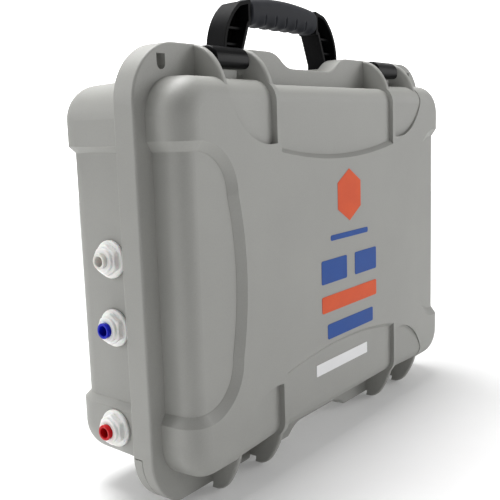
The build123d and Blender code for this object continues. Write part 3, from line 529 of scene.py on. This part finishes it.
def softened(node, width, name):
    """A copy of a design node with merged points, merged flat faces and rounded edges."""
    mesh = frame["nodes"][node].data.copy()
    work = bmesh.new()
    work.from_mesh(mesh)
    bmesh.ops.remove_doubles(work, verts=work.verts, dist=MERGE_WITHIN)
    bmesh.ops.dissolve_limit(work, angle_limit=FLAT_WITHIN, verts=work.verts, edges=work.edges)
    work.to_mesh(mesh)
    work.free()
    piece = tidy(name, mesh, 35)
    bevel = piece.modifiers.new("edges", "BEVEL")
    bevel.width, bevel.segments, bevel.limit_method = width, 2, "ANGLE"
    bevel.angle_limit = BEVEL_FROM
    bevel.harden_normals = True
    return piece


bow = softened("handle_frame", BOW_EDGE, "handle_bow")
fit(bow, "handle", "handle_black", "handle_frame")

# %% [markdown]
# ## Lid foam
#
# The pad in the lid is convoluted foam, cut into rows of soft peaks that press on what is in the
# case. Its face is the product of two cosines; its outline is a rectangle with round corners. Rings
# that grow from the middle to that outline, and then turn down over the edge, close it in one grid.

# %% Lid foam
FOAM_PITCH = 24 * MM
FOAM_WAVE = 4.2 * MM
FOAM_CORNER = 14 * MM
FOAM_RINGS = 150
FOAM_ANGLES = 480
FOAM_FLAT = 0.985               # share of the way out where the face starts to turn down
FOAM_TURN = np.linspace(0.2, 1.57, 6)
FOAM_EDGE = 2.2 * MM
FOAM_FADE = 0.05                # share of the way out over which the wave fades
FOAM_GAP = 0.3 * MM
FOAM_SIDE = 9 * MM              # where the side starts, below the block's inner face
CENTRE = 0.004                  # share of the smallest ring, which a cap closes


def foam_points(low, high):
    """Rings by angle: a share of the outline's distance gives x and z; y is the block's inner face
    less a wave of (1 - cos cos) / 2, which fades in over the last twentieth of the way out."""
    half_x, half_z = (high[0] - low[0]) / 2, (high[2] - low[2]) / 2
    mid_x, mid_z = (high[0] + low[0]) / 2, (high[2] + low[2]) / 2
    corners = [(half_x, half_z), (-half_x, half_z), (-half_x, -half_z), (half_x, -half_z)]
    loop = evenly(rounded(corners, FOAM_CORNER, 16), FOAM_ANGLES)
    face = np.linspace(CENTRE, FOAM_FLAT, FOAM_RINGS)
    edge = FOAM_FLAT + (1 - FOAM_FLAT) * np.sin(FOAM_TURN)
    share = np.concatenate((face, edge, [1.0, 0.99, 0.6, CENTRE]))
    sides = np.zeros(4)
    turned = np.concatenate((np.zeros(FOAM_RINGS), FOAM_EDGE * (1 - np.cos(FOAM_TURN)), sides))
    x, z = share[:, None] * loop[:, 0], share[:, None] * loop[:, 1]
    wave = (1 - np.cos(2 * np.pi * x / FOAM_PITCH) * np.cos(2 * np.pi * z / FOAM_PITCH)) / 2
    fade = np.clip((1 - share) / FOAM_FADE, 0, 1)[:, None]
    y = high[1] - FOAM_GAP - turned[:, None] - FOAM_WAVE * (wave * fade + (1 - fade) / 2)
    y[-sides.size:] = np.array([high[1] - FOAM_SIDE, low[1], low[1], low[1]])[:, None]
    return np.stack((mid_x + x, y, mid_z + z), -1)


foam = surface("lid_pad", foam_points(*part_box("lid_foam")), caps=True, sharp=60)
fit(foam, "lid", "foam_charcoal", "lid_foam")

# %% [markdown]
# ## Floor and backdrop
#
# The unit stands on a plain pale floor. A glowing white backdrop stands behind it, square to the
# camera's heading, and just large enough to fill the view. Lighting the whole surroundings as
# brightly would do it too, but the light from every side would wash out the black parts.

# %% Floor and backdrop
FLOOR_HALF = 6.0
BACKDROP_AT, BACKDROP_HALF, BACKDROP_TOP = 2.0, 1.5, 1.3


def staged(name, corners, material):
    """One flat face that is part of the studio, not of the object."""
    mesh = bpy.data.meshes.new(name)
    mesh.from_pydata([tuple(corner) for corner in corners], [], [range(len(corners))])
    plane = bpy.data.objects.new(name, mesh)
    bpy.context.scene.collection.objects.link(plane)
    plane.data.materials.append(material)


floor_white = finish("floor_white", (0.80, 0.80, 0.80), (0.77, 0.77, 0.77), 0.7, patch=2,
                     grain=60, depth=0.01, glow=0.15)
backdrop_white = finish("backdrop_white", (0.8, 0.8, 0.8), (0.8, 0.8, 0.8), 0.9, patch=1,
                        grain=20, depth=0.01, glow=1.0)
quarter = ((-1, -1, 0), (1, -1, 0), (1, 1, 0), (-1, 1, 0))
staged("floor", FLOOR_HALF * np.array(quarter), floor_white)
foot = BACKDROP_AT * np.array((np.sin(YAW), np.cos(YAW), 0.0))
left, far_right = foot - level * BACKDROP_HALF, foot + level * BACKDROP_HALF
rise = np.array((0, 0, BACKDROP_TOP))
staged("backdrop", (left, far_right, far_right + rise, left + rise), backdrop_white)
print("floor and backdrop ready")

# %% [markdown]
# ## Light
#
# Three area lights give the soft gradients that make rounded edges readable. The broad one in
# front stands far to the right, so the lid's left edge falls into shade; a second one lights the
# side with the ports from behind, and a third lights the top. An area light shines along its own
# -Z, so the matrix that turns it has the direction away from its target as its third column.

# %% Light
def softbox(name, place, target, size, power):
    """A square area light of the given size at place, turned so that it faces target."""
    data = bpy.data.lights.new(name, "AREA")
    data.size, data.energy = size, power
    lamp = bpy.data.objects.new(name, data)
    bpy.context.scene.collection.objects.link(lamp)
    back = np.array(place, float) - np.array(target, float)
    back /= np.linalg.norm(back)
    side = np.cross((0, 0, 1), back)
    side /= np.linalg.norm(side)
    turned = np.eye(4)
    turned[:3] = np.stack((side, np.cross(back, side), back, place), 1)
    lamp.matrix_world = Matrix(turned.tolist())


softbox("front", (2.2, -1.9, 1.0), (0.05, 0, 0.14), 1.6, 32)
softbox("side", (-1.1, 1.0, 0.7), (-0.17, 0, 0.14), 0.7, 7.2)
softbox("top", (0.0, 0.35, 1.4), (0, 0, 0.2), 0.9, 27)
world = bpy.data.worlds.new("studio")
bpy.context.scene.world = world
world.use_nodes = True
sky = world.node_tree.nodes["Background"]
sky.inputs["Color"].default_value = (1, 1, 1, 1)
sky.inputs["Strength"].default_value = 0.26
bpy.context.scene.view_settings.view_transform = "Standard"
print("studio ready")
